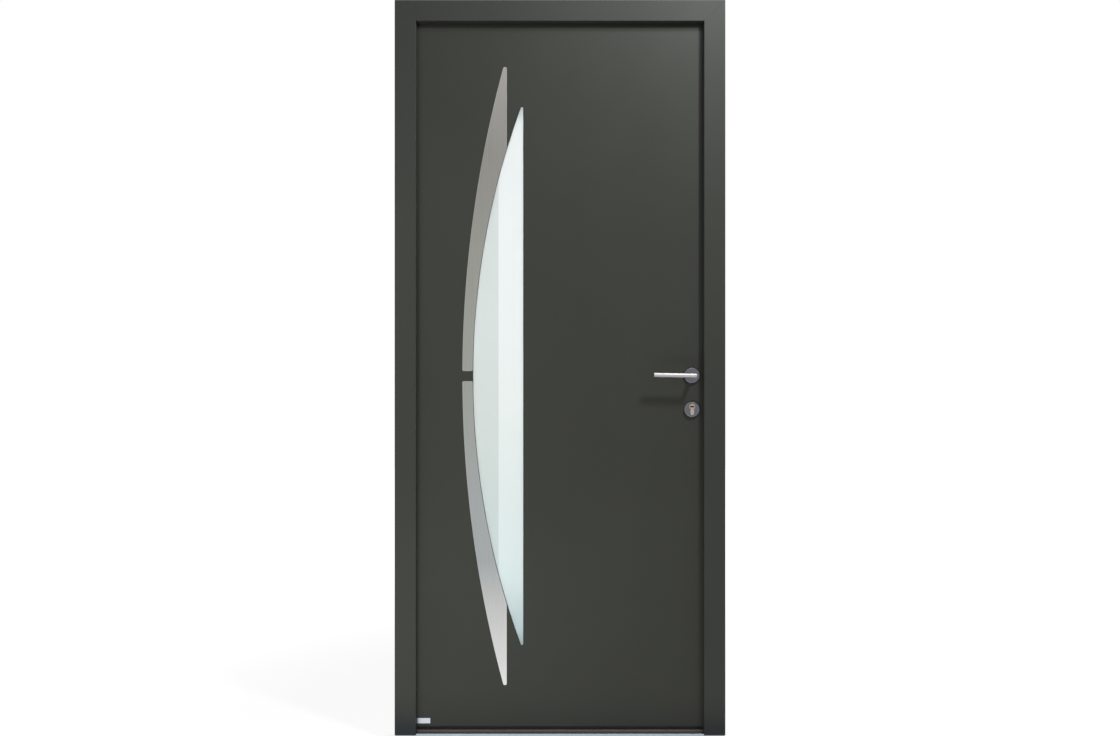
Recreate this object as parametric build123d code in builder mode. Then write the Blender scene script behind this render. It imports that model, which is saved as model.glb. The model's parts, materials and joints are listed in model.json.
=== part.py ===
from build123d import *
import os

# An aluminium entry door with its frame. The frame is a mitred U of thermally broken
# profiles on a low sill. The leaf overlaps the frame indoors and has a D-shaped glazed
# slot, with two bright blades beside it that follow its arc, and a lever handle over a
# profile cylinder on both faces.
# Millimetres. +X is to the right seen from outdoors, -Y is outdoors and +Z is up.
# The origin is the middle of the sill's underside, half way through the frame's depth.

os.makedirs("parts", exist_ok=True)

# Frame profiles
frame_width = 970.0
frame_height = 2177.0
frame_depth = 72.0
lip_width = 62.0
rebate_wall_width = 42.0
lip_depth = 20.0
outer_shell_depth = 24.0
frame_break_depth = 20.0
profile_wall = 2.0
profile_edge_radius = 1.0
strip_thickness = 2.5
strip_inset = 3.0

# Holes for the wall fixings, evenly spaced up each jamb
fixing_radius = 5.25
fixing_count = 4
fixing_foot_margin = 160.0
fixing_head_margin = 177.0

# Sill
sill_height = 20.0
sill_recess = 10.5
ledge_depth = 14.5
upstand_depth = 6.0
upstand_rise = 5.5
plateau_depth = 15.0
sill_lip_depth = 3.0
sill_cover = 2.0
sill_end_gap = 0.3

# Leaf profiles and skins
leaf_recess = 25.0
leaf_depth = 68.0
leaf_gap = 8.0
leaf_bottom_gap = 11.5
skin = 2.0
stile_width = 60.0
leaf_outer_shell_depth = 21.0
leaf_break_depth = 20.0
flange_lap = 8.0
flange_gap = 5.0

# Glazed slot: a D with its straight edge towards the lock
slot_edge_setback = 326.5
slot_width = 149.0
slot_head_margin = 239.0
slot_foot_margin = 221.0
slot_corner_radius = 4.0
pane_lap = 14.0
pane_edge_gap = 0.8
pane_face_recess = 0.3
bond_gap = 0.5
outer_pane = 8.0
middle_pane = 6.0
inner_pane = 8.0
spacer_width = 10.0
spacer_setback = 2.0

# Blades beside the slot
blade_edge_setback = 277.5
blade_end_width = 30.4
blade_head_margin = 104.5
blade_foot_margin = 86.5
blade_slot_gap = 1.0
blade_middle_gap = 30.0
blade_tip_radius = 5.5
blade_end_radius = 4.0
blade_thickness = 1.5

# Blank plate near the hinge-side foot
plate_width = 38.0
plate_height = 15.5
plate_thickness = 1.0
plate_side_margin = 13.0
plate_foot_margin = 8.5
plate_corner_radius = 1.0

# Lever handle, rosettes and profile cylinder
backset = 45.0
lever_above_sill = 1055.0
plug_below_lever = 92.0
rosette_radius = 22.5
rosette_depth = 8.0
rosette_edge_bevel = 1.2
escutcheon_drop = 8.5
lever_radius = 6.75
neck_clearance = 0.6
neck_foot_gap = 0.5
lever_stand_off = 52.0
lever_length = 117.0
lever_rise = 2.0
spindle_side = 8.0
spindle_engagement = 24.0
spindle_hole_radius = 9.0
cylinder_head_radius = 8.5
cylinder_web_width = 10.0
cylinder_height = 33.0
cylinder_proud = 1.5
cylinder_clearance = 0.3
plug_radius = 6.5
plug_groove = 0.4
plug_groove_depth = 0.8
keyway_width = 11.0
keyway_height = 3.2
keyway_depth = 12.0

# Lock and strikes
faceplate_side_gap = 0.3
faceplate_end_margin = 95.0
bolt_clearance = 0.3
bolt_depth = 30.0
bolt_thickness = 14.0
latch_above_lever = 18.0
latch_length = 30.0
deadbolt_below_lever = 64.0
deadbolt_length = 34.0
hook_foot_margin = 353.0
hook_head_margin = 367.0
hook_length = 42.0
strike_width = 22.0
strike_thickness = 3.0
strike_margin = 26.0
strike_clearance = 0.2

# Hinges: one near each end of the leaf and one half way between
hinge_foot_margin = 213.0
hinge_head_margin = 227.0
hinge_barrel_radius = 9.0
hinge_pin_radius = 4.0
hinge_pin_clearance = 0.08
hinge_length = 100.0
hinge_leaf_knuckle = 39.0
hinge_knuckle_gap = 0.5
hinge_plate_thickness = 3.0
hinge_leaf_plate_width = 44.0
hinge_plate_edge = 2.0
hinge_side_gap = 5.0
hinge_arm_thickness = 6.0
hinge_cap_height = 3.0

# Seals
seal_gap = 0.3
seal_inset = 5.0
frame_seal_width = 6.0
leaf_seal_width = 5.0
leaf_seal_inset = 1.0
bottom_seal_depth = 6.0
bottom_seal_inset = 2.0
bottom_seal_setback = 6.0

# Planes and edges of the frame
front = -frame_depth / 2
back = frame_depth / 2
half_width = frame_width / 2
lip_back = front + lip_depth
frame_break_front = front + outer_shell_depth
frame_break_back = frame_break_front + frame_break_depth
inner_shell_middle = (frame_break_back + back) / 2
rebate_half = half_width - rebate_wall_width
rebate_head = frame_height - rebate_wall_width
lip_half = half_width - lip_width
lip_head = frame_height - lip_width

# Planes and edges of the sill
sill_front = front + sill_recess
upstand_front = sill_front + ledge_depth
sill_break = upstand_front + upstand_depth
plateau_back = sill_break + plateau_depth
plateau_height = sill_height + upstand_rise
plateau_half = rebate_half - sill_end_gap

# Planes and edges of the leaf
leaf_front = front + leaf_recess
leaf_back = leaf_front + leaf_depth
leaf_half = rebate_half - leaf_gap
leaf_head = rebate_head - leaf_gap
leaf_foot = plateau_height + leaf_bottom_gap
shell_front = leaf_front + skin
shell_back = leaf_back - skin
leaf_break_front = shell_front + leaf_outer_shell_depth
leaf_break_back = leaf_break_front + leaf_break_depth
leaf_break_middle = (leaf_break_front + leaf_break_back) / 2
leaf_middle = (leaf_front + leaf_back) / 2
flange_width = leaf_gap + flange_lap
flange_front = back + flange_gap
flange_half = leaf_half + flange_width
flange_head = leaf_head + flange_width

# Places of the slot, the blades, the handle, the cylinder and the hinge pins
slot_edge_x = -leaf_half + slot_edge_setback
blade_edge_x = -leaf_half + blade_edge_setback
blade_outermost_x = slot_edge_x - slot_width - blade_slot_gap - blade_end_width
blade_width = blade_edge_x - blade_outermost_x
handle_x = leaf_half - backset
lever_height = sill_height + lever_above_sill
plug_height = lever_height - plug_below_lever
escutcheon_height = plug_height - escutcheon_drop
hinge_x = -(flange_half + hinge_side_gap + hinge_barrel_radius)
hinge_y = leaf_back + hinge_plate_thickness

# Heights of the fixings, the bolts and the hinges
fixing_foot = sill_height + fixing_foot_margin
fixing_spacing = (frame_height - fixing_head_margin - fixing_foot) / (fixing_count - 1)
fixing_heights = [fixing_foot + step * fixing_spacing for step in range(fixing_count)]
latch_height = lever_height + latch_above_lever
deadbolt_height = lever_height - deadbolt_below_lever
hook_heights = (leaf_foot + hook_foot_margin, leaf_head - hook_head_margin)
hinge_foot = leaf_foot + hinge_foot_margin
hinge_head = leaf_head - hinge_head_margin
hinge_heights = (hinge_foot, (hinge_foot + hinge_head) / 2, hinge_head)


def facing_out(y):
    """The plane at depth y that looks outdoors, with x to the right and z up."""
    return Plane.XZ.offset(-y)


def upright_plane(side, edge, height):
    """The plane of an upright's section: its x runs inwards from the outer edge."""
    return Plane(origin=(side * edge, 0, height), x_dir=(-side, 0, 0), z_dir=(0, 0, -side))


def mitre_plane(side, edge, head):
    """The plane of the mitre that runs inwards and down from a top corner."""
    return Plane(origin=(side * edge, 0, head), z_dir=(-side, 0, 1))


def write_piece(piece, node):
    """Names a finished piece and writes it."""
    piece.part.label = node
    export_step(piece.part, f"parts/{node}.step")


def hollow(outline):
    """A profile's section: the outline less its chamber."""
    with BuildSketch() as section:
        add(outline)
        offset(amount=-profile_wall, kind=Kind.INTERSECTION, mode=Mode.SUBTRACT)
    return section.sketch


def rectangle_between(x_low, x_high, y_low, y_high):
    """A rectangle given by its limits."""
    with BuildSketch() as shape:
        with Locations(((x_low + x_high) / 2, (y_low + y_high) / 2)):
            Rectangle(x_high - x_low, y_high - y_low)
    return shape.sketch


def frame_outer_section():
    """The outdoor shell of the frame: a box with the lip that covers the leaf's edge."""
    with BuildSketch() as outline:
        with BuildLine():
            Polyline(
                (0, front),
                (lip_width, front),
                (lip_width, lip_back),
                (rebate_wall_width, lip_back),
                (rebate_wall_width, frame_break_front),
                (0, frame_break_front),
                close=True,
            )
        make_face()
        fillet(outline.vertices().group_by(Axis.Y)[0], profile_edge_radius)
    return hollow(outline.sketch)


def frame_break_section():
    """The two plastic strips that keep the frame's shells apart."""
    with BuildSketch() as strips:
        add(rectangle_between(strip_inset, strip_inset + strip_thickness,
                              frame_break_front, frame_break_back))
        add(rectangle_between(rebate_wall_width - strip_inset - strip_thickness,
                              rebate_wall_width - strip_inset,
                              frame_break_front, frame_break_back))
    return strips.sketch


def frame_inner_section():
    """The indoor shell of the frame."""
    return hollow(rectangle_between(0, rebate_wall_width, frame_break_back, back))


def leaf_outer_section():
    """The outdoor shell of a stile or rail."""
    return hollow(rectangle_between(0, stile_width, shell_front, leaf_break_front))


def leaf_inner_section(flange):
    """The indoor shell of a stile or rail, with the flange that overlaps the frame."""
    with BuildSketch() as outline:
        add(rectangle_between(0, stile_width, leaf_break_back, shell_back))
        if flange:
            add(rectangle_between(-flange_width, profile_wall, flange_front, shell_back))
    return hollow(outline.sketch)


def upright(section, side, edge, foot, head, reach=0):
    """A jamb or stile, mitred at its top. The reach is what stands outside its edge."""
    with BuildPart() as member:
        with BuildSketch(upright_plane(side, edge, foot)):
            add(section)
        extrude(amount=-side * (head + reach - foot))
        split(bisect_by=mitre_plane(side, edge, head), keep=Keep.BOTTOM)
    return member.part


def crosspiece(section, edge, head, reach=0):
    """A head or top rail, mitred at both ends."""
    start = Plane(origin=(-edge - reach, 0, head), x_dir=(0, 0, -1), z_dir=(1, 0, 0))
    with BuildPart() as member:
        with BuildSketch(start):
            add(section)
        extrude(amount=2 * (edge + reach))
        for side in (-1, 1):
            split(bisect_by=mitre_plane(side, edge, head), keep=Keep.TOP)
    return member.part


def arc_between(foot_margin, head_margin, bulge):
    """Middle height and radius of an arc over part of the leaf's height, and its bulge."""
    foot = leaf_foot + foot_margin
    head = leaf_head - head_margin
    half_height = (head - foot) / 2
    return (foot + head) / 2, (half_height ** 2 + bulge ** 2) / (2 * bulge)


def slot_outline(grow=0):
    """The glazed slot seen from outdoors, grown evenly: a disc cut off by a straight edge."""
    middle, radius = arc_between(slot_foot_margin, slot_head_margin, slot_width)
    with BuildSketch() as outline:
        with Locations((slot_edge_x - slot_width + radius, middle)):
            Circle(radius)
        with Locations((slot_edge_x, middle)):
            Rectangle(slot_width, 2 * radius, align=(Align.MAX, Align.CENTER),
                      mode=Mode.INTERSECT)
        fillet(outline.vertices(), slot_corner_radius)
        if grow:
            offset(amount=grow)
    return outline.sketch


def blade_outline(side):
    """The upper (side 1) or lower (side -1) blade, between its own arc and the slot's."""
    middle, radius = arc_between(blade_foot_margin, blade_head_margin, blade_width)
    slot_middle, slot_radius = arc_between(slot_foot_margin, slot_head_margin, slot_width)
    with BuildSketch() as outline:
        with Locations((blade_outermost_x + radius, middle)):
            Circle(radius)
        with Locations((slot_edge_x - slot_width + slot_radius, slot_middle)):
            Circle(slot_radius + blade_slot_gap, mode=Mode.SUBTRACT)
        with Locations((blade_edge_x, middle + side * blade_middle_gap / 2)):
            Rectangle(blade_width, radius,
                      align=(Align.MAX, Align.MIN if side > 0 else Align.MAX),
                      mode=Mode.INTERSECT)
        by_height = outline.vertices().sort_by(Axis.Y, reverse=side < 0)
        fillet(by_height[-1], blade_tip_radius)
        by_height = outline.vertices().sort_by(Axis.Y, reverse=side < 0)
        fillet(by_height[:2], blade_end_radius)
    return outline.sketch


def cylinder_outline(grow=0):
    """The outline of a profile cylinder: a round head over a narrow rounded web."""
    web_centre = plug_height + cylinder_head_radius - cylinder_height + cylinder_web_width / 2
    with BuildSketch() as outline:
        with Locations((handle_x, plug_height)):
            Circle(cylinder_head_radius + grow)
        with Locations((handle_x, web_centre)):
            Circle(cylinder_web_width / 2 + grow)
        add(rectangle_between(handle_x - cylinder_web_width / 2 - grow,
                              handle_x + cylinder_web_width / 2 + grow,
                              web_centre, plug_height))
    return outline.sketch


def handle_holes():
    """What the handle set needs cut through each sheet and wall of the lock stile."""
    with BuildSketch() as holes:
        with Locations((handle_x, lever_height)):
            Circle(spindle_hole_radius)
        add(cylinder_outline(cylinder_clearance))
    return holes.sketch


def bolt_list():
    """Height and length of each bolt that comes out of the lock stile."""
    hooks = [(height, hook_length) for height in hook_heights]
    return [(latch_height, latch_length), (deadbolt_height, deadbolt_length)] + hooks


def strike_list():
    """Middle height and length of each strike plate, which reaches past its bolts."""
    top = latch_height + latch_length / 2 + strike_margin
    bottom = deadbolt_height - deadbolt_length / 2 - strike_margin
    hooks = [(height, hook_length + 2 * strike_margin) for height in hook_heights]
    return [((top + bottom) / 2, top - bottom)] + hooks


# Frame members: a jamb each side and the head, each of two shells and a thermal break
frame_sections = {
    "outer_profile": frame_outer_section(),
    "thermal_break": frame_break_section(),
    "inner_profile": frame_inner_section(),
}
lock_side = 1
hinge_side = -1
for layer, section in frame_sections.items():
    for side, jamb_name in ((hinge_side, "left_jamb"), (lock_side, "right_jamb")):
        with BuildPart() as jamb:
            add(upright(section, side, half_width, sill_height, frame_height))
            if layer == "inner_profile":
                with BuildSketch(Plane.YZ.offset(side * (rebate_half - profile_wall))):
                    with Locations([(inner_shell_middle, height) for height in fixing_heights]):
                        Circle(fixing_radius)
                extrude(amount=side * (rebate_wall_width + 2 * profile_wall), mode=Mode.SUBTRACT)
            if layer == "inner_profile" and side == lock_side:
                with BuildSketch(Plane.YZ.offset(rebate_half - profile_wall)):
                    for height, length in strike_list():
                        with Locations((inner_shell_middle, height)):
                            Rectangle(strike_width + 2 * strike_clearance,
                                      length + 2 * strike_clearance)
                extrude(amount=3 * profile_wall, mode=Mode.SUBTRACT)
        write_piece(jamb, f"{jamb_name}_{layer}")
    with BuildPart() as head_member:
        add(crosspiece(section, half_width, frame_height))
    write_piece(head_member, f"head_{layer}")

# Sill: an aluminium front with its upstand
with BuildPart() as sill_outer_profile:
    with BuildSketch(Plane.YZ.offset(-half_width)):
        add(hollow(rectangle_between(sill_front, sill_break, 0, sill_height)))
    extrude(amount=frame_width)
    with BuildSketch(Plane.XY.offset(sill_height)):
        add(rectangle_between(-plateau_half, plateau_half, upstand_front, sill_break))
    extrude(amount=upstand_rise)
    ridge = sill_outer_profile.edges().filter_by(Axis.X).group_by(Axis.Z)[-1].sort_by(Axis.Y)[0]
    fillet(ridge, profile_edge_radius)
write_piece(sill_outer_profile, "sill_outer_profile")

# Sill: the plastic base that keeps the front and the indoor cover apart
with BuildPart() as sill_base:
    with BuildSketch(Plane.XY):
        add(rectangle_between(-half_width, half_width, sill_break, back))
    extrude(amount=sill_height - sill_cover)
    with BuildSketch(Plane.XY.offset(sill_height - sill_cover)):
        add(rectangle_between(-half_width, -plateau_half, sill_break, back))
        add(rectangle_between(plateau_half, half_width, sill_break, back))
    extrude(amount=sill_cover)
    with BuildSketch(Plane.XY.offset(sill_height - sill_cover)):
        add(rectangle_between(-plateau_half, plateau_half, sill_break, plateau_back - sill_cover))
    extrude(amount=upstand_rise)
    with BuildSketch(Plane.XY.offset(plateau_height - sill_cover)):
        add(rectangle_between(-plateau_half, plateau_half, sill_break, sill_break + sill_lip_depth))
    extrude(amount=sill_cover)
write_piece(sill_base, "sill_base")

# Sill: the indoor cover, a sheet folded down behind the plateau
with BuildPart() as sill_cover_sheet:
    with BuildSketch(Plane.YZ.offset(-plateau_half)) as fold:
        with BuildLine():
            Polyline(
                (sill_break + sill_lip_depth, plateau_height),
                (plateau_back, plateau_height),
                (plateau_back, sill_height),
                (back, sill_height),
                (back, sill_height - sill_cover),
                (plateau_back - sill_cover, sill_height - sill_cover),
                (plateau_back - sill_cover, plateau_height - sill_cover),
                (sill_break + sill_lip_depth, plateau_height - sill_cover),
                close=True,
            )
        make_face()
    extrude(amount=2 * plateau_half)
write_piece(sill_cover_sheet, "sill_cover")

# Seal on the back of the lip, which the leaf's outdoor face closes against
with BuildPart() as frame_seal:
    with BuildSketch(facing_out(leaf_front - seal_gap)):
        outer = lip_half + seal_inset + frame_seal_width
        inner = lip_half + seal_inset
        head = lip_head + seal_inset
        add(rectangle_between(-outer, outer, sill_height + seal_gap, head + frame_seal_width))
        with Locations((0, head)):
            Rectangle(2 * inner, head, align=(Align.CENTER, Align.MAX), mode=Mode.SUBTRACT)
    extrude(amount=leaf_front - seal_gap - lip_back)
write_piece(frame_seal, "frame_seal")

# Strike plates, flush in the lock-side rebate wall, with a window for each bolt
with BuildPart() as strike_plates:
    with BuildSketch(Plane.YZ.offset(rebate_half)):
        for height, length in strike_list():
            with Locations((inner_shell_middle, height)):
                Rectangle(strike_width, length)
        for height, length in bolt_list():
            with Locations((inner_shell_middle, height)):
                Rectangle(bolt_thickness + 2 * bolt_clearance, length + 4 * bolt_clearance,
                          mode=Mode.SUBTRACT)
    extrude(amount=strike_thickness)
write_piece(strike_plates, "strike_plates")

# Leaf members: two stiles, the top rail and a bottom rail that fits between the stiles
flanged_section = Sketch() + [leaf_outer_section(), leaf_inner_section(flange=True)]
plain_section = Sketch() + [leaf_outer_section(), leaf_inner_section(flange=False)]

with BuildPart() as hinge_stile:
    add(upright(flanged_section, hinge_side, leaf_half, leaf_foot, leaf_head, flange_width))
write_piece(hinge_stile, "leaf_stile_hinge_side")

with BuildPart() as lock_stile:
    add(upright(flanged_section, lock_side, leaf_half, leaf_foot, leaf_head, flange_width))
    with BuildSketch(facing_out(leaf_back)):
        add(handle_holes())
    extrude(amount=leaf_depth, mode=Mode.SUBTRACT)
write_piece(lock_stile, "leaf_stile_lock_side")

with BuildPart() as top_rail:
    add(crosspiece(flanged_section, leaf_half, leaf_head, flange_width))
write_piece(top_rail, "leaf_top_rail")

with BuildPart() as bottom_rail:
    rail_half = leaf_half - stile_width
    rail_start = Plane(origin=(rail_half, 0, leaf_foot), x_dir=(0, 0, 1), z_dir=(-1, 0, 0))
    with BuildSketch(rail_start):
        add(plain_section)
    extrude(amount=2 * rail_half)
write_piece(bottom_rail, "leaf_bottom_rail")

# Leaf thermal break: an outer and an inner ring of strip, with windows for the bolts
with BuildPart() as leaf_thermal_break:
    with BuildSketch(facing_out(leaf_break_back)):
        for inset in (strip_inset, stile_width - strip_inset - strip_thickness):
            edge = leaf_half - inset
            foot = leaf_foot + inset
            head = leaf_head - inset
            add(rectangle_between(-edge, edge, foot, head))
            rim = strip_thickness
            add(rectangle_between(-edge + rim, edge - rim, foot + rim, head - rim),
                mode=Mode.SUBTRACT)
    extrude(amount=leaf_break_depth)
    with BuildSketch(Plane.YZ.offset(leaf_half)):
        for height, length in bolt_list():
            with Locations((leaf_break_middle, height)):
                Rectangle(bolt_thickness + 2 * bolt_clearance, length + 2 * bolt_clearance)
    extrude(amount=-(strip_inset + 2 * strip_thickness), mode=Mode.SUBTRACT)
write_piece(leaf_thermal_break, "leaf_thermal_break")

# Leaf skins, with the slot and the holes of the handle set cut through both
with BuildPart() as outer_skin:
    with BuildSketch(facing_out(shell_front)):
        add(rectangle_between(-leaf_half, leaf_half, leaf_foot, leaf_head))
        add(slot_outline(), mode=Mode.SUBTRACT)
        add(handle_holes(), mode=Mode.SUBTRACT)
    extrude(amount=skin)
write_piece(outer_skin, "leaf_outer_skin")

with BuildPart() as inner_skin:
    with BuildSketch(facing_out(leaf_back)):
        add(rectangle_between(-flange_half, flange_half, leaf_foot, flange_head))
        add(slot_outline(), mode=Mode.SUBTRACT)
        add(handle_holes(), mode=Mode.SUBTRACT)
    extrude(amount=skin)
write_piece(inner_skin, "leaf_inner_skin")

# Glazing: three panes wider than the slot, bonded behind the skins, and two spacers. The
# outer pane is stepped, so that its face fills the slot almost flush with the leaf.
glazing_front = shell_front + bond_gap
glazing_back = shell_back - bond_gap
cavity = (glazing_back - glazing_front - outer_pane - middle_pane - inner_pane) / 2
middle_pane_front = glazing_front + outer_pane + cavity
pane_list = (
    ("glass_outer_pane", glazing_front, outer_pane),
    ("glass_middle_pane", middle_pane_front, middle_pane),
    ("glass_inner_pane", glazing_back - inner_pane, inner_pane),
)
for node, pane_front, thickness in pane_list:
    with BuildPart() as pane:
        with BuildSketch(facing_out(pane_front + thickness)):
            add(slot_outline(pane_lap))
        extrude(amount=thickness)
        if node == "glass_outer_pane":
            with BuildSketch(facing_out(pane_front)):
                add(slot_outline(-pane_edge_gap))
            extrude(amount=pane_front - leaf_front - pane_face_recess)
    write_piece(pane, node)

with BuildPart() as glass_spacers:
    for spacer_back in (middle_pane_front, middle_pane_front + middle_pane + cavity):
        with BuildSketch(facing_out(spacer_back)):
            add(slot_outline(spacer_setback + spacer_width))
            add(slot_outline(spacer_setback), mode=Mode.SUBTRACT)
        extrude(amount=cavity)
write_piece(glass_spacers, "glass_spacers")

# Blades, bonded on the outdoor skin
for side, node in ((1, "blade_upper"), (-1, "blade_lower")):
    with BuildPart() as blade:
        with BuildSketch(facing_out(leaf_front)):
            add(blade_outline(side))
        extrude(amount=blade_thickness)
    write_piece(blade, node)

# Blank plate
with BuildPart() as blank_plate:
    with BuildSketch(facing_out(leaf_front)):
        with Locations((-leaf_half + plate_side_margin, leaf_foot + plate_foot_margin)):
            RectangleRounded(plate_width, plate_height, plate_corner_radius,
                             align=(Align.MIN, Align.MIN))
    extrude(amount=plate_thickness)
write_piece(blank_plate, "blank_plate")

# Lock faceplate in the groove of the lock stile's edge, and its bolts, drawn back flush
with BuildPart() as lock_faceplate:
    faceplate_foot = hook_heights[0] - faceplate_end_margin
    faceplate_head = hook_heights[1] + faceplate_end_margin
    with BuildSketch(Plane.YZ.offset(leaf_half - strip_inset)):
        add(rectangle_between(leaf_break_front + faceplate_side_gap,
                              leaf_break_back - faceplate_side_gap,
                              faceplate_foot, faceplate_head))
        for height, length in bolt_list():
            with Locations((leaf_break_middle, height)):
                Rectangle(bolt_thickness + 2 * bolt_clearance, length + 2 * bolt_clearance,
                          mode=Mode.SUBTRACT)
    extrude(amount=strip_inset)
write_piece(lock_faceplate, "lock_faceplate")

with BuildPart() as lock_bolts:
    with BuildSketch(Plane.YZ.offset(leaf_half)):
        for height, length in bolt_list():
            with Locations((leaf_break_middle, height)):
                Rectangle(bolt_thickness, length)
    extrude(amount=-bolt_depth)
write_piece(lock_bolts, "lock_bolts")

# Rosettes round the lever's necks and escutcheons round the cylinder, on both faces
inside_out = facing_out(leaf_middle)
with BuildPart() as rosette:
    with BuildSketch(facing_out(leaf_front)):
        with Locations((handle_x, lever_height)):
            Circle(rosette_radius)
            Circle(lever_radius + neck_clearance, mode=Mode.SUBTRACT)
    extrude(amount=rosette_depth)
    front_edges = rosette.edges().group_by(Axis.Y)[0].filter_by(GeomType.CIRCLE)
    chamfer(front_edges.sort_by(SortBy.RADIUS)[-1], rosette_edge_bevel)

with BuildPart() as escutcheon:
    with BuildSketch(facing_out(leaf_front)):
        with Locations((handle_x, escutcheon_height)):
            Circle(rosette_radius)
        add(cylinder_outline(cylinder_clearance), mode=Mode.SUBTRACT)
    extrude(amount=rosette_depth)
    front_edges = escutcheon.edges().group_by(Axis.Y)[0].filter_by(GeomType.CIRCLE)
    chamfer(front_edges.sort_by(SortBy.RADIUS)[-1], rosette_edge_bevel)

for piece, name in ((rosette, "rosette"), (escutcheon, "escutcheon")):
    write_piece(piece, f"{name}_outside")
    with BuildPart() as indoor_piece:
        mirror(piece.part, about=inside_out)
    write_piece(indoor_piece, f"{name}_inside")

# Profile cylinder, with the ring of its plug and a level keyway at each end
with BuildPart() as lock_cylinder:
    cylinder_front = leaf_front - rosette_depth - cylinder_proud
    cylinder_length = leaf_depth + 2 * (rosette_depth + cylinder_proud)
    with BuildSketch(facing_out(cylinder_front + cylinder_length)):
        add(cylinder_outline())
    extrude(amount=cylinder_length)
    with BuildSketch(facing_out(cylinder_front)) as plug_ring:
        with Locations((handle_x, plug_height)):
            Circle(plug_radius)
            Circle(plug_radius - plug_groove, mode=Mode.SUBTRACT)
    extrude(amount=-plug_groove_depth, mode=Mode.SUBTRACT)
    with BuildSketch(facing_out(cylinder_front)):
        with Locations((handle_x, plug_height)):
            Rectangle(keyway_width, keyway_height)
    extrude(amount=-keyway_depth, mode=Mode.SUBTRACT)
    with BuildSketch(facing_out(cylinder_front + cylinder_length)):
        with Locations((handle_x, plug_height)):
            Circle(plug_radius)
            Circle(plug_radius - plug_groove, mode=Mode.SUBTRACT)
    extrude(amount=plug_groove_depth, mode=Mode.SUBTRACT)
    with BuildSketch(facing_out(cylinder_front + cylinder_length)):
        with Locations((handle_x, plug_height)):
            Rectangle(keyway_width, keyway_height)
    extrude(amount=keyway_depth, mode=Mode.SUBTRACT)
write_piece(lock_cylinder, "lock_cylinder")

# Lever: a round bar with a mitred elbow; its grip rises a little towards the tip, as pictured
neck_foot = leaf_front - neck_foot_gap
grip_y = leaf_front - lever_stand_off
with BuildPart() as lever:
    with BuildLine() as lever_line:
        Polyline(
            (handle_x, neck_foot, lever_height),
            (handle_x, grip_y, lever_height),
            (handle_x - lever_length, grip_y, lever_height + lever_rise),
        )
    with BuildSketch(facing_out(neck_foot)):
        with Locations((handle_x, lever_height)):
            Circle(lever_radius)
    sweep(path=lever_line.line, transition=Transition.RIGHT)
    with BuildSketch(facing_out(neck_foot)):
        with Locations((handle_x, lever_height)):
            Rectangle(spindle_side, spindle_side)
    extrude(amount=spindle_engagement, mode=Mode.SUBTRACT)
write_piece(lever, "lever_outside")

with BuildPart() as lever_inside:
    mirror(lever.part, about=inside_out)
write_piece(lever_inside, "lever_inside")

with BuildPart() as spindle:
    spindle_reach = neck_foot_gap + spindle_engagement
    with BuildSketch(facing_out(leaf_back + spindle_reach)):
        with Locations((handle_x, lever_height)):
            Rectangle(spindle_side, spindle_side)
    extrude(amount=leaf_depth + 2 * spindle_reach)
write_piece(spindle, "lever_spindle")

# Hinges: a frame part with two knuckles, a leaf part with the one between, and a pin
barrel_reach = hinge_y - back
for height, name in zip(hinge_heights, ("lower", "middle", "upper")):
    foot = height - hinge_length / 2
    knuckle_foot = height - hinge_leaf_knuckle / 2
    end_knuckle = knuckle_foot - hinge_knuckle_gap - foot
    with BuildPart() as frame_part:
        with BuildSketch(Plane.XY.offset(foot)):
            add(rectangle_between(-half_width + hinge_plate_edge, hinge_x + hinge_barrel_radius,
                                  back, back + hinge_plate_thickness))
        extrude(amount=hinge_length)
        with BuildSketch(Plane.XY.offset(foot), Plane.XY.offset(foot + hinge_length - end_knuckle)):
            add(rectangle_between(hinge_x - hinge_barrel_radius, hinge_x + hinge_barrel_radius,
                                  back, hinge_y))
            with Locations((hinge_x, hinge_y)):
                Circle(hinge_barrel_radius)
                Circle(hinge_pin_radius + hinge_pin_clearance, mode=Mode.SUBTRACT)
        extrude(amount=end_knuckle)
    write_piece(frame_part, f"hinge_{name}_frame_part")
    with BuildPart() as leaf_part:
        with BuildSketch(Plane.XY.offset(foot)):
            plate_start = -flange_half + hinge_plate_edge
            add(rectangle_between(plate_start, plate_start + hinge_leaf_plate_width,
                                  leaf_back, leaf_back + hinge_plate_thickness))
        extrude(amount=hinge_length)
        with BuildSketch(Plane.XY.offset(knuckle_foot)):
            add(rectangle_between(hinge_x, plate_start + hinge_barrel_radius,
                                  leaf_back, leaf_back + hinge_arm_thickness))
            with Locations((hinge_x, hinge_y)):
                Circle(hinge_barrel_radius)
                Circle(hinge_pin_radius + hinge_pin_clearance, mode=Mode.SUBTRACT)
        extrude(amount=hinge_leaf_knuckle)
    write_piece(leaf_part, f"hinge_{name}_leaf_part")

with BuildPart() as hinge_pins:
    for height in hinge_heights:
        foot = height - hinge_length / 2
        with BuildSketch(Plane.XY.offset(foot)):
            with Locations((hinge_x, hinge_y)):
                Circle(hinge_pin_radius)
        extrude(amount=hinge_length)
        for cap_foot in (foot - hinge_cap_height, foot + hinge_length):
            with BuildSketch(Plane.XY.offset(cap_foot)):
                with Locations((hinge_x, hinge_y)):
                    Circle(hinge_barrel_radius)
            extrude(amount=hinge_cap_height)
write_piece(hinge_pins, "hinge_pins")

# Seal on the leaf's flange, which closes against the frame's indoor face
with BuildPart() as leaf_seal:
    with BuildSketch(facing_out(flange_front)):
        outer = flange_half - leaf_seal_inset
        inner = outer - leaf_seal_width
        head = flange_head - leaf_seal_inset
        add(rectangle_between(-outer, outer, leaf_foot, head))
        with Locations((0, head - leaf_seal_width)):
            Rectangle(2 * inner, head, align=(Align.CENTER, Align.MAX), mode=Mode.SUBTRACT)
    extrude(amount=flange_gap - seal_gap)
write_piece(leaf_seal, "leaf_seal")

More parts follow.
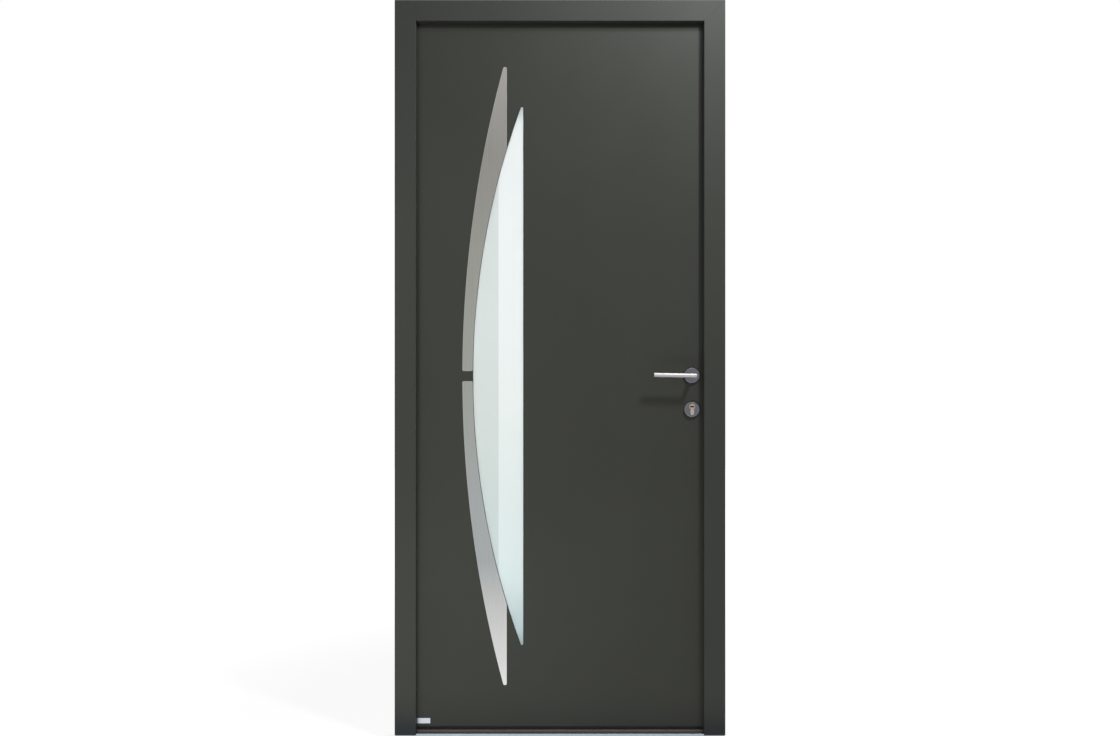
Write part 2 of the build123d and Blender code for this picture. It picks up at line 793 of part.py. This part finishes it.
# Seal under the leaf, which brushes over the sill's plateau
with BuildPart() as bottom_seal:
    with BuildSketch(Plane.XY.offset(plateau_height + seal_gap)):
        seal_half = leaf_half - bottom_seal_inset
        seal_front = upstand_front + bottom_seal_setback
        add(rectangle_between(-seal_half, seal_half, seal_front, seal_front + bottom_seal_depth))
    extrude(amount=leaf_bottom_gap - seal_gap)
write_piece(bottom_seal, "bottom_seal")
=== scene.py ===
import json
import math

import bmesh
import bpy
from mathutils import Matrix, Vector


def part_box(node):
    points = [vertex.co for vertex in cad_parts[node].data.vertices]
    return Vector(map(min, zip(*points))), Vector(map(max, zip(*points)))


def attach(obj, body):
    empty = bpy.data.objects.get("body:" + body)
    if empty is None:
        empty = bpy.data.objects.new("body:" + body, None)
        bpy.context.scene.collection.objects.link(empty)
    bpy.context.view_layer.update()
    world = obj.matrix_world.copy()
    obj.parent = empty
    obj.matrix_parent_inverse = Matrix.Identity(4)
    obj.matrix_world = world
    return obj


# The looks of the entry door: a procedural material on every piece, the heads of its screws, a
# pale floor, the lights and the camera. Metres. +X is to the right seen from outdoors, -Y is
# outdoors and +Z is up.

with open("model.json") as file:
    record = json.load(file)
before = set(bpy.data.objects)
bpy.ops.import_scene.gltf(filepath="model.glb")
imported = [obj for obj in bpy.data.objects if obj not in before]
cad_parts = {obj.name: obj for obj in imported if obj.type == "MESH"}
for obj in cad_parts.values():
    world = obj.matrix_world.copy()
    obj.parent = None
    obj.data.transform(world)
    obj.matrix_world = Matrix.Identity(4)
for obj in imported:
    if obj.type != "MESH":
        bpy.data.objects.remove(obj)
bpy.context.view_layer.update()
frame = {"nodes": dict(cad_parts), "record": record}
scene = bpy.context.scene

# Boxes of the pieces whose finish changes from place to place
frame_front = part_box("head_outer_profile")[0][1]
pane_low, pane_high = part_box("glass_outer_pane")
blade_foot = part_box("blade_lower")[0][2]
blade_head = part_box("blade_upper")[1][2]
sill_low, sill_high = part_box("sill_outer_profile")
cylinder_low, cylinder_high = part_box("lock_cylinder")
lever_low, lever_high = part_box("lever_outside")

# Sizes of those pieces that their boxes don't give
pane_lap = 0.014
cylinder_head_radius = 0.0085
plug_reach = 0.0067
lever_radius = 0.00675
lever_rise = 0.002

# The slot's opening, and the middle of the cylinder's plug
slot_left = pane_low[0] + pane_lap
slot_right = pane_high[0] - pane_lap
slot_foot = pane_low[2] + pane_lap
slot_head = pane_high[2] - pane_lap
plug_x = (cylinder_low[0] + cylinder_high[0]) / 2
plug_z = cylinder_high[2] - cylinder_head_radius
cylinder_middle = (cylinder_low[1] + cylinder_high[1]) / 2
cylinder_half = (cylinder_high[1] - cylinder_low[1]) / 2


# Colours
def tint(red, green, blue):
    """A linear colour, or the shares by which a colour is multiplied."""
    return (red, green, blue, 1.0)


def linear(red, green, blue):
    """A colour written as 8-bit screen values, as the shader's linear colour."""
    def channel(value):
        value = value / 255.0
        return value / 12.92 if value <= 0.04045 else ((value + 0.055) / 1.055) ** 2.4
    return tint(channel(red), channel(green), channel(blue))


def shade(colour, factor):
    """A linear colour made lighter or darker."""
    return tint(*(min(1.0, part * factor) for part in colour[:3]))


# Camera: square on to the door, at the height of the photograph's middle
camera_distance = 2.600
camera_height = 1.097
photo_width_at_frame = 3.284
sensor_width = 36.0

camera_data = bpy.data.cameras.new("camera")
camera = bpy.data.objects.new("camera", camera_data)
scene.collection.objects.link(camera)
camera_data.sensor_width = sensor_width
camera_data.lens = sensor_width * camera_distance / photo_width_at_frame
camera.location = (0.0, frame_front - camera_distance, camera_height)
camera.rotation_euler = (math.radians(90.0), 0.0, 0.0)
scene.camera = camera
scene.view_settings.view_transform = "Standard"


# Lights: a key high on the right, weak fills, and strips that only gloss shows
light_colour = (0.97, 0.99, 1.0)
gloss_colour = (0.89, 0.95, 1.0)


def area_light(name, place, target, width, height, power, gloss=False):
    """An area light at a place, turned to a target: one that lights, or one that gloss shows."""
    data = bpy.data.lights.new(name, "AREA")
    data.shape = "RECTANGLE"
    data.size = width
    data.size_y = height
    data.energy = power
    data.color = gloss_colour if gloss else light_colour
    lamp = bpy.data.objects.new(name, data)
    scene.collection.objects.link(lamp)
    lamp.location = place
    lamp.visible_glossy = gloss
    lamp.visible_diffuse = not gloss
    lamp.rotation_euler = (Vector(target) - Vector(place)).to_track_quat("-Z", "Y").to_euler()


area_light("key", (0.97, -1.10, 2.60), (0.30, 0.0, 1.40), 0.22, 0.22, 34.0)
area_light("upper_fill", (-0.74, -0.90, 1.40), (-0.54, 0.0, 1.20), 0.40, 0.60, 4.9)
area_light("lower_fill", (-0.44, -0.95, 0.25), (-0.38, 0.0, 0.23), 0.55, 0.24, 6.0)
area_light("foot_fill", (0.40, -1.40, 0.20), (0.20, 0.0, 0.15), 1.00, 0.30, 2.4)
area_light("back_fill", (2.60, 2.60, 2.60), (0.0, 0.0, 1.10), 1.50, 1.50, 110.0)
area_light("right_strip", (0.80, -1.10, 3.00), (0.30, 0.0, 2.00), 0.50, 0.30, 33.0, gloss=True)
area_light("wide_strip", (0.30, -1.10, 3.10), (0.30, 0.0, 2.00), 1.20, 0.30, 21.0, gloss=True)


# World: a soft pale light, and white where it is seen directly
soft_colour = tint(0.98, 0.99, 1.0)
soft_strength = 0.26
white = tint(1.0, 1.0, 1.0)


def seen_directly(tree):
    """1 for the rays of the camera, of reflections and of glass, and 0 for those that light."""
    path = tree.nodes.new("ShaderNodeLightPath")
    total = path.outputs["Is Camera Ray"]
    for name in ("Is Glossy Ray", "Is Transmission Ray"):
        larger = tree.nodes.new("ShaderNodeMath")
        larger.operation = "MAXIMUM"
        tree.links.new(total, larger.inputs[0])
        tree.links.new(path.outputs[name], larger.inputs[1])
        total = larger.outputs[0]
    return total


def new_world():
    """The world's background."""
    world = bpy.data.worlds.new("studio")
    scene.world = world
    world.use_nodes = True
    tree = world.node_tree
    tree.nodes.clear()
    add = tree.nodes.new
    link = tree.links.new
    soft = add("ShaderNodeBackground")
    soft.inputs["Color"].default_value = soft_colour
    soft.inputs["Strength"].default_value = soft_strength
    plain = add("ShaderNodeBackground")
    plain.inputs["Color"].default_value = white
    plain.inputs["Strength"].default_value = 1.0
    mix = add("ShaderNodeMixShader")
    link(seen_directly(tree), mix.inputs[0])
    link(soft.outputs[0], mix.inputs[1])
    link(plain.outputs[0], mix.inputs[2])
    output = add("ShaderNodeOutputWorld")
    link(mix.outputs[0], output.inputs["Surface"])


new_world()


# Floor: it glows white far from the door, and shows more of the door's shadow near it
floor_half = 7.0
floor_colour = tint(0.64, 0.64, 0.63)
floor_glow = 1.2
glow_near = 0.68
glow_far = 0.92
near_distance = 0.7
far_distance = 2.4


def new_floor():
    """A wide pale floor under the sill."""
    mesh = bpy.data.meshes.new("floor")
    corners = [(-1, -1), (1, -1), (1, 1), (-1, 1)]
    mesh.from_pydata([(x * floor_half, y * floor_half, 0.0) for x, y in corners], [], [(0, 1, 2, 3)])
    floor = bpy.data.objects.new("floor", mesh)
    scene.collection.objects.link(floor)
    material = bpy.data.materials.new("floor")
    material.use_nodes = True
    tree = material.node_tree
    tree.nodes.clear()
    add = tree.nodes.new
    link = tree.links.new
    coords = add("ShaderNodeTexCoord")
    distance = add("ShaderNodeVectorMath")
    distance.operation = "LENGTH"
    link(coords.outputs["Object"], distance.inputs[0])
    spread = add("ShaderNodeMapRange")
    spread.interpolation_type = "SMOOTHSTEP"
    spread.inputs["From Min"].default_value = near_distance
    spread.inputs["From Max"].default_value = far_distance
    spread.inputs["To Min"].default_value = glow_near
    spread.inputs["To Max"].default_value = glow_far
    link(distance.outputs["Value"], spread.inputs["Value"])
    glow_share = add("ShaderNodeMath")
    glow_share.operation = "MULTIPLY"
    link(seen_directly(tree), glow_share.inputs[0])
    link(spread.outputs[0], glow_share.inputs[1])
    diffuse = add("ShaderNodeBsdfDiffuse")
    diffuse.inputs["Color"].default_value = floor_colour
    glow = add("ShaderNodeEmission")
    glow.inputs["Strength"].default_value = floor_glow
    mix = add("ShaderNodeMixShader")
    link(glow_share.outputs[0], mix.inputs[0])
    link(diffuse.outputs[0], mix.inputs[1])
    link(glow.outputs[0], mix.inputs[2])
    output = add("ShaderNodeOutputMaterial")
    link(mix.outputs[0], output.inputs["Surface"])
    mesh.materials.append(material)


new_floor()


# Materials: noise scales are per metre, and most of a noise lies within noise_span
noise_span = (0.3, 0.7)


class Finish:
    """A procedural material, whose nodes are added one at a time in real lengths."""

    def __init__(self, name):
        self.material = bpy.data.materials.new(name)
        self.material.use_nodes = True
        self.tree = self.material.node_tree
        self.shader = self.tree.nodes["Principled BSDF"]
        self.coords = self.node("ShaderNodeTexCoord")

    def node(self, kind, **values):
        """A new node, with its own properties set."""
        made = self.tree.nodes.new(kind)
        for key, value in values.items():
            setattr(made, key, value)
        return made

    def link(self, source, target):
        """A link from one socket to another."""
        self.tree.links.new(source, target)

    def connect(self, value, socket):
        """A socket's value: a number or a colour is set there, and another socket is linked."""
        if isinstance(value, (int, float, tuple)):
            socket.default_value = value
        else:
            self.link(value, socket)

    def set(self, **values):
        """Values of the shader that are the same all over the surface."""
        for key, value in values.items():
            self.shader.inputs[key.replace("_", " ")].default_value = value
        return self

    def stretched(self, scale):
        """Object coordinates in metres, times a scale on each axis."""
        mapping = self.node("ShaderNodeMapping")
        mapping.inputs["Scale"].default_value = scale
        self.link(self.coords.outputs["Object"], mapping.inputs["Vector"])
        return mapping.outputs[0]

    def axis(self, name):
        """One object coordinate, in metres."""
        split = self.node("ShaderNodeSeparateXYZ")
        self.link(self.coords.outputs["Object"], split.inputs[0])
        return split.outputs[name]

    def noise(self, scale, detail=2.0, roughness=0.5):
        """Noise with its own scale on each axis."""
        texture = self.node("ShaderNodeTexNoise")
        texture.inputs["Scale"].default_value = 1.0
        texture.inputs["Detail"].default_value = detail
        texture.inputs["Roughness"].default_value = roughness
        self.link(self.stretched(scale), texture.inputs["Vector"])
        return texture.outputs["Fac"]

    def streaks(self, scale):
        """Noise drawn out along the axis with the smallest scale, as brushing leaves it."""
        return self.noise(scale, detail=3.0, roughness=0.6)

    def math(self, operation, *values):
        """A Math node of one or two values, each a socket or a number."""
        node = self.node("ShaderNodeMath", operation=operation)
        for value, socket in zip(values, node.inputs):
            self.connect(value, socket)
        return node.outputs[0]

    def range(self, source, low, high, start=0.0, end=1.0):
        """A value that runs from low to high as the source runs from start to end."""
        spread = self.node("ShaderNodeMapRange")
        spread.inputs["From Min"].default_value = start
        spread.inputs["From Max"].default_value = end
        spread.inputs["To Min"].default_value = low
        spread.inputs["To Max"].default_value = high
        self.link(source, spread.inputs["Value"])
        return spread.outputs[0]

    def varied(self, noise, low, high):
        """A value that follows a noise from low to high."""
        return self.range(noise, low, high, *noise_span)

    def ramp(self, source, stops):
        """A colour ramp from (position, colour) stops."""
        ramp = self.node("ShaderNodeValToRGB")
        elements = ramp.color_ramp.elements
        while len(elements) < len(stops):
            elements.new(0.5)
        for element, (position, colour) in zip(elements, stops):
            element.position = position
            element.color = colour
        self.link(source, ramp.inputs[0])
        return ramp.outputs[0]

    def mottled(self, noise, dark, light):
        """A colour that follows a noise from dark to light."""
        return self.ramp(noise, list(zip(noise_span, (dark, light))))

    def blend(self, share, first, second, kind="MIX"):
        """Two colours mixed by a share."""
        mix = self.node("ShaderNodeMix", data_type="RGBA", blend_type=kind)
        self.connect(share, mix.inputs[0])
        self.connect(first, mix.inputs[6])
        self.connect(second, mix.inputs[7])
        return mix.outputs[2]

    def bump(self, source, depth, strength=0.3, normal=None):
        """The normal of a surface with a fine relief."""
        bump = self.node("ShaderNodeBump")
        bump.inputs["Distance"].default_value = depth
        bump.inputs["Strength"].default_value = strength
        self.link(source, bump.inputs["Height"])
        if normal:
            self.link(normal, bump.inputs["Normal"])
        return bump.outputs[0]

    def rounded(self, radius):
        """The normal of edges rounded by a small radius."""
        bevel = self.node("ShaderNodeBevel", samples=4)
        bevel.inputs["Radius"].default_value = radius
        return bevel.outputs[0]

    def edges(self, radius, start=0.01, end=0.25):
        """A mask that is 1 along sharp edges and 0 a radius away from them."""
        geometry = self.node("ShaderNodeNewGeometry")
        dot = self.node("ShaderNodeVectorMath", operation="DOT_PRODUCT")
        self.link(self.rounded(radius), dot.inputs[0])
        self.link(geometry.outputs["Normal"], dot.inputs[1])
        return self.range(self.math("SUBTRACT", 1.0, dot.outputs["Value"]), 0.0, 1.0, start, end)

    def colour(self, socket):
        """The shader's colour."""
        self.link(socket, self.shader.inputs["Base Color"])

    def roughness(self, socket):
        """The shader's roughness."""
        self.link(socket, self.shader.inputs["Roughness"])

    def normal(self, socket):
        """The shader's normal."""
        self.link(socket, self.shader.inputs["Normal"])


# Painted shade: near the floor a coating is darker and bluer, between these heights
foot_shade_start = 0.020
foot_shade_end = 0.140


def powder_coat(name, colour, edge_radius, foot_shade_share=0.0):
    """Fine-grained matt coating on aluminium, with a painted highlight along its edges and painted
    shade at its foot.
    """
    finish = Finish(name).set(Specular_IOR_Level=0.12)
    broad = finish.noise((3.0, 3.0, 2.0), detail=3.0)
    body = finish.mottled(broad, shade(colour, 0.95), shade(colour, 1.05))
    # Painted shade: the coating turns darker and bluer towards the floor
    height = finish.range(finish.axis("Z"), 0.0, 1.0, foot_shade_start, foot_shade_end)
    foot = finish.ramp(height, [
        (0.00, tint(0.51, 0.54, 0.71)), (0.21, tint(0.56, 0.61, 0.73)),
        (0.33, tint(0.67, 0.70, 0.79)), (0.43, tint(0.77, 0.78, 0.85)),
        (0.53, tint(0.83, 0.84, 0.90)), (0.67, tint(0.90, 0.91, 0.92)),
        (0.82, tint(0.94, 0.94, 0.95)), (1.00, white),
    ])
    body = finish.blend(foot_shade_share, body, foot, "MULTIPLY")
    # Painted highlight: the coating is lighter along its edges
    finish.colour(finish.blend(finish.edges(edge_radius), body, shade(colour, 1.25)))
    finish.roughness(finish.varied(finish.noise((9.0, 9.0, 9.0), detail=4.0), 0.42, 0.50))
    grain = finish.noise((2600.0, 2600.0, 2600.0), detail=1.0)
    finish.normal(finish.bump(grain, 0.00004, 0.35, finish.rounded(edge_radius)))
    return finish.material


def brushed(name, colour, scale, smooth, rough, edge_radius):
    """Brushed metal, with a painted highlight along its edges."""
    finish = Finish(name).set(Metallic=1.0)
    streaks = finish.streaks(scale)
    body = finish.mottled(streaks, shade(colour, 0.92), shade(colour, 1.06))
    # Painted highlight: lighter along the edges
    finish.colour(finish.blend(finish.edges(edge_radius), body, shade(colour, 1.2)))
    finish.roughness(finish.varied(streaks, smooth, rough))
    finish.normal(finish.bump(streaks, 0.00002, normal=finish.rounded(edge_radius)))
    return finish.material


def plastic(name, colour, smooth, rough, edge_radius):
    """Moulded plastic or rubber with a fine grain."""
    finish = Finish(name).set(Specular_IOR_Level=0.3)
    mottle = finish.noise((25.0, 25.0, 25.0), detail=3.0)
    finish.colour(finish.mottled(mottle, shade(colour, 0.9), shade(colour, 1.12)))
    finish.roughness(finish.varied(mottle, smooth, rough))
    grain = finish.noise((900.0, 900.0, 900.0), detail=1.0)
    finish.normal(finish.bump(grain, 0.00003, normal=finish.rounded(edge_radius)))
    return finish.material


def blade_steel():
    """The blades' brushed steel, with a painted reflection of the floor's light that makes them
    brightest at their foot, and a painted highlight along their edges.
    """
    finish = Finish("blade_steel").set(Metallic=1.0)
    # Painted reflection: the steel's colour changes with height and is brightest at the foot
    height = finish.range(finish.axis("Z"), 0.0, 1.0, blade_foot, blade_head)
    tone = finish.ramp(height, [
        (0.00, linear(229, 228, 224)), (0.04, linear(212, 211, 209)), (0.08, linear(206, 206, 204)),
        (0.13, linear(193, 194, 193)), (0.20, linear(165, 169, 170)), (0.30, linear(163, 167, 168)),
        (0.40, linear(161, 164, 160)), (0.50, linear(158, 161, 155)), (0.60, linear(156, 158, 151)),
        (0.70, linear(153, 153, 146)), (0.78, linear(147, 146, 140)), (0.86, linear(141, 139, 134)),
        (0.95, linear(147, 144, 139)),
    ])
    streaks = finish.streaks((1500.0, 1500.0, 6.0))
    brushing = finish.mottled(streaks, tint(0.91, 0.91, 0.91), tint(0.985, 0.985, 0.985))
    body = finish.blend(1.0, tone, brushing, "MULTIPLY")
    # Painted highlight along the blades' edges
    finish.colour(finish.blend(finish.edges(0.0020), body, linear(205, 204, 198)))
    finish.roughness(finish.varied(streaks, 0.26, 0.38))
    finish.normal(finish.bump(streaks, 0.00002, normal=finish.rounded(0.0005)))
    return finish.material


def satin_glass():
    """The outer pane: satin glass, whiter from the middle of the slot to its straight edge, with
    painted shade along that edge, towards the slot's foot and at its top.
    """
    finish = Finish("satin_glass").set(Transmission_Weight=0.35, IOR=1.45)
    across = finish.range(finish.axis("X"), 0.0, 1.0, slot_left, slot_right)
    satin = linear(219, 224, 222)
    band = linear(239, 242, 241)
    # The last stop is painted shade along the straight edge
    tone = finish.ramp(across, [
        (0.0, satin), (0.505, satin), (0.512, shade(band, 1.02)), (0.53, band),
        (0.98, band), (1.0, linear(223, 238, 243)),
    ])
    height = finish.range(finish.axis("Z"), 0.0, 1.0, slot_foot, slot_head)
    # Painted shade: darker and cooler towards the slot's foot, and darker at its top
    slot_shade = finish.ramp(height, [
        (0.0, tint(0.42, 0.50, 0.52)), (0.03, tint(0.57, 0.66, 0.68)),
        (0.065, tint(0.615, 0.695, 0.71)), (0.12, tint(0.735, 0.80, 0.81)),
        (0.23, tint(0.83, 0.88, 0.875)), (0.345, tint(0.92, 0.95, 0.94)),
        (0.455, tint(0.98, 0.985, 0.97)), (0.57, white),
        (0.97, tint(0.98, 0.98, 0.98)), (1.0, tint(0.61, 0.69, 0.69)),
    ])
    finish.colour(finish.blend(1.0, tone, slot_shade, "MULTIPLY"))
    frosting = finish.noise((700.0, 700.0, 700.0), detail=1.0)
    finish.roughness(finish.varied(frosting, 0.30, 0.38))
    return finish.material


def clear_glass():
    """The panes behind the satin one."""
    finish = Finish("clear_glass").set(Transmission_Weight=1.0, IOR=1.45)
    clean = finish.noise((6.0, 6.0, 6.0))
    finish.colour(finish.ramp(clean, [(0.0, linear(250, 253, 252)), (1.0, linear(253, 255, 254))]))
    finish.roughness(finish.varied(clean, 0.01, 0.03))
    return finish.material


# Half the sides of the painted shade round the keyway, and where it has faded out
shade_round_keyway_width = (0.0052, 0.0064)
shade_round_keyway_height = (0.0016, 0.0028)
# Depths under the cylinder's two faces: painted shade from the first on, and bright down to the
# second
plug_shade_depth = 0.0006
plug_bright_depth = 0.0002


def cylinder_metal():
    """The cylinder's nickel, with painted shade inside its keyway, in the groove round its plug and
    round the keyway's mouth.
    """
    finish = Finish("cylinder_nickel").set(Metallic=1.0)
    streaks = finish.streaks((900.0, 30.0, 900.0))
    body = finish.mottled(streaks, linear(158, 146, 132), linear(184, 172, 158))
    across = finish.math("SUBTRACT", finish.axis("X"), plug_x)
    along = finish.math("SUBTRACT", finish.axis("Z"), plug_z)
    squares = finish.math("ADD", finish.math("MULTIPLY", across, across),
                          finish.math("MULTIPLY", along, along))
    in_plug = finish.math("LESS_THAN", squares, plug_reach ** 2)
    # Painted shade: darker round the keyway's mouth
    beside = finish.range(finish.math("ABSOLUTE", across), 1.0, 0.0, *shade_round_keyway_width)
    above = finish.range(finish.math("ABSOLUTE", along), 1.0, 0.0, *shade_round_keyway_height)
    keyway_shade = finish.blend(finish.math("MULTIPLY", beside, above), body, linear(66, 58, 52))
    # Painted shade: near black inside the keyway and the groove round the plug
    from_middle = finish.math("ABSOLUTE", finish.math("SUBTRACT", finish.axis("Y"), cylinder_middle))
    recess_shade = finish.range(from_middle, 1.0, 0.0,
                        cylinder_half - plug_shade_depth, cylinder_half - plug_bright_depth)
    finish.colour(finish.blend(finish.math("MULTIPLY", in_plug, recess_shade), keyway_shade, linear(24, 20, 17)))
    finish.roughness(finish.varied(streaks, 0.20, 0.32))
    finish.normal(finish.bump(streaks, 0.00002))
    return finish.material


def lever_metal():
    """The lever's brushed steel, with painted shade along the top of its bar and lighter underneath.
    """
    finish = Finish("lever_steel").set(Metallic=1.0)
    # Painted shade: the bar's colour runs from lighter underneath to darker along its top
    slope = lever_rise / (lever_high[0] - lever_low[0] - lever_radius)
    from_neck = finish.math("SUBTRACT", lever_high[0] - lever_radius, finish.axis("X"))
    level = finish.math("SUBTRACT", finish.axis("Z"), finish.math("MULTIPLY", from_neck, slope))
    up = finish.range(level, 0.0, 1.0, lever_low[2], lever_low[2] + 2.0 * lever_radius)
    tone = finish.ramp(up, [(0.1, linear(190, 185, 185)), (0.9, linear(162, 159, 158))])
    streaks = finish.streaks((30.0, 1200.0, 1200.0))
    brushing = finish.mottled(streaks, tint(0.92, 0.91, 0.91), white)
    finish.colour(finish.blend(1.0, tone, brushing, "MULTIPLY"))
    finish.roughness(finish.varied(streaks, 0.46, 0.56))
    finish.normal(finish.bump(streaks, 0.00002))
    return finish.material


def rosette_metal():
    """The rosettes' brushed steel, with a painted highlight round their rims."""
    finish = Finish("rosette_steel").set(Metallic=1.0)
    streaks = finish.streaks((900.0, 900.0, 60.0))
    body = finish.mottled(streaks, linear(92, 93, 101), linear(104, 105, 114))
    # Painted highlight: a bright rim
    finish.colour(finish.blend(finish.edges(0.0014, 0.005, 0.12), body, linear(190, 188, 190)))
    finish.roughness(finish.varied(streaks, 0.22, 0.34))
    finish.normal(finish.bump(streaks, 0.00002, normal=finish.rounded(0.0006)))
    return finish.material


# Distances behind the sill's front, and behind its back, over which the light metal and the painted
# shade meet
ledge_start = (0.0004, 0.0010)
ledge_end = (0.0005, 0.0008)


def sill_metal():
    """The sill's front: light anodised metal, darker on its ledge and upstand with painted shade and
    a painted reflection of the dark leaf.
    """
    finish = Finish("sill_aluminium").set(Metallic=0.6)
    streaks = finish.streaks((12.0, 900.0, 900.0))
    light = finish.mottled(streaks, linear(160, 172, 181), linear(174, 184, 191))
    dark = finish.mottled(streaks, linear(88, 84, 80), linear(98, 93, 89))
    depth = finish.axis("Y")
    behind_front = finish.range(depth, 0.0, 1.0, *(sill_low[1] + reach for reach in ledge_start))
    before_back = finish.range(depth, 1.0, 0.0, *(sill_high[1] + reach for reach in ledge_end))
    # Painted shade and painted reflection: the ledge and upstand are darker
    finish.colour(finish.blend(finish.math("MULTIPLY", behind_front, before_back), light, dark))
    finish.roughness(finish.varied(streaks, 0.38, 0.5))
    finish.normal(finish.bump(streaks, 0.00003, normal=finish.rounded(0.0006)))
    return finish.material


coat = linear(52.5, 53.4, 48.3)
finishes = {
    "frame_coating": powder_coat("frame_coating", linear(54, 55, 51), 0.0010, foot_shade_share=1.0),
    "leaf_coating": powder_coat("leaf_coating", coat, 0.0006, foot_shade_share=0.45),
    "thermal_break_plastic": plastic("thermal_break_plastic", linear(30, 30, 30), 0.5, 0.6, 0.0004),
    "sill_aluminium": sill_metal(),
    "seal_rubber": plastic("seal_rubber", linear(22, 22, 22), 0.55, 0.75, 0.0006),
    "lock_steel": brushed("lock_steel", linear(190, 190, 186), (900.0, 900.0, 14.0),
                          0.28, 0.42, 0.0004),
    "hinge_coating": powder_coat("hinge_coating", coat, 0.0006),
    "spacer_plastic": plastic("spacer_plastic", linear(200, 204, 203), 0.5, 0.6, 0.0003),
    "blade_steel": blade_steel(),
    "plate_aluminium": brushed("plate_aluminium", linear(213, 218, 224), (40.0, 1500.0, 1500.0),
                               0.3, 0.45, 0.0003),
    "cylinder_nickel": cylinder_metal(),
    "rosette_steel": rosette_metal(),
    "lever_steel": lever_metal(),
}
satin_pane = satin_glass()
clear_pane = clear_glass()

slot_of = {part["node"]: part["material_slot"] for part in frame["record"]["subparts"]}
for node, thing in frame["nodes"].items():
    if slot_of[node] == "glazing":
        material = satin_pane if node == "glass_outer_pane" else clear_pane
    else:
        material = finishes[slot_of[node]]
    thing.data.materials.clear()
    thing.data.materials.append(material)


# Screws: raised countersunk heads with hexagon sockets. Each ring has its share of the head's
# radius, its height in radii, and whether it follows the socket's hexagon.
screw_sides = 24
hexagon_half = math.pi / 6
screw_rings = (
    (1.00, -0.10, False), (1.00, 0.02, False), (0.86, 0.11, False), (0.62, 0.16, False),
    (0.42, 0.17, True), (0.42, 0.03, True),
)


def screw_heads(name, body, slot, places, outward, radius):
    """Screw heads of one size at several places on a body, facing outward."""
    build = bmesh.new()
    turn = Vector(outward).to_track_quat("Z", "Y").to_matrix().to_4x4()
    for place in places:
        matrix = Matrix.Translation(place) @ turn
        rings = []
        for share, rise, is_socket in screw_rings:
            ring = []
            for step in range(screw_sides):
                angle = math.tau * step / screw_sides
                reach = radius * share
                if is_socket:
                    reach /= math.cos((angle + hexagon_half) % (2 * hexagon_half) - hexagon_half)
                point = (reach * math.cos(angle), reach * math.sin(angle), radius * rise)
                ring.append(build.verts.new(matrix @ Vector(point)))
            rings.append(ring)
        for outer, inner in zip(rings, rings[1:]):
            for step in range(screw_sides):
                following = (step + 1) % screw_sides
                build.faces.new((outer[step], outer[following], inner[following], inner[step]))
        build.faces.new(rings[0])
        build.faces.new(rings[-1])
    bmesh.ops.recalc_face_normals(build, faces=build.faces)
    mesh = bpy.data.meshes.new(name)
    build.to_mesh(mesh)
    build.free()
    mesh.materials.append(finishes[slot])
    heads = bpy.data.objects.new(name, mesh)
    scene.collection.objects.link(heads)
    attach(heads, body)


# Separate solids of the lock's nodes stand further apart than this
least_gap = 0.100


def spans(node):
    """The height ranges of a node's separate solids, which stand one above the other."""
    heights = sorted(vertex.co.z for vertex in frame["nodes"][node].data.vertices)
    ranges = [[heights[0], heights[0]]]
    for height in heights:
        if height - ranges[-1][1] > least_gap:
            ranges.append([height, height])
        ranges[-1][1] = height
    return ranges


# Screws of the hinges, in columns beside the edges of their plates
indoors = (0.0, 1.0, 0.0)
hinge_plate = 0.003
hinge_heights = (-0.038, -0.013, 0.013, 0.038)
leaf_outer_column = 0.010
leaf_inner_column = 0.030
frame_column = 0.0045
leaf_screw_radius = 0.0040
frame_screw_radius = 0.0032
leaf_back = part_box("leaf_inner_skin")[1][1] + hinge_plate
frame_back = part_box("left_jamb_inner_profile")[1][1] + hinge_plate
leaf_places = []
frame_places = []
for level in ("lower", "middle", "upper"):
    part_low, part_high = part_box(f"hinge_{level}_leaf_part")
    middle = (part_low[2] + part_high[2]) / 2
    leaf_places += [(part_high[0] - leaf_outer_column, leaf_back, middle + rise)
                    for rise in hinge_heights]
    leaf_places += [(part_high[0] - leaf_inner_column, leaf_back, middle + rise)
                    for rise in (hinge_heights[0], hinge_heights[-1])]
    part_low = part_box(f"hinge_{level}_frame_part")[0]
    frame_places += [(part_low[0] + frame_column, frame_back, middle + rise)
                     for rise in hinge_heights]
screw_heads("hinge_leaf_screws", "leaf", "hinge_coating", leaf_places, indoors, leaf_screw_radius)
screw_heads("hinge_frame_screws", "frame", "hinge_coating", frame_places, indoors, frame_screw_radius)

# Screws of the lock: at the ends of its faceplate, beside its bolts, and at each strike's ends
end_margin = 0.014
bolt_margin = 0.022
lock_screw_radius = 0.0036
plate_low, plate_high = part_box("lock_faceplate")
plate_middle = (plate_low[1] + plate_high[1]) / 2
screw_levels = [plate_low[2] + end_margin, plate_high[2] - end_margin]
for foot, top in spans("lock_bolts"):
    screw_levels += [foot - bolt_margin, top + bolt_margin]
screw_heads("faceplate_screws", "leaf", "lock_steel",
            [(plate_high[0], plate_middle, level) for level in screw_levels],
            (1.0, 0.0, 0.0), lock_screw_radius)

strike_low, strike_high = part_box("strike_plates")
strike_middle = (strike_low[1] + strike_high[1]) / 2
screw_levels = []
for foot, top in spans("strike_plates"):
    screw_levels += [foot + end_margin, top - end_margin]
screw_heads("strike_screws", "frame", "lock_steel",
            [(strike_low[0], strike_middle, level) for level in screw_levels],
            (-1.0, 0.0, 0.0), lock_screw_radius)
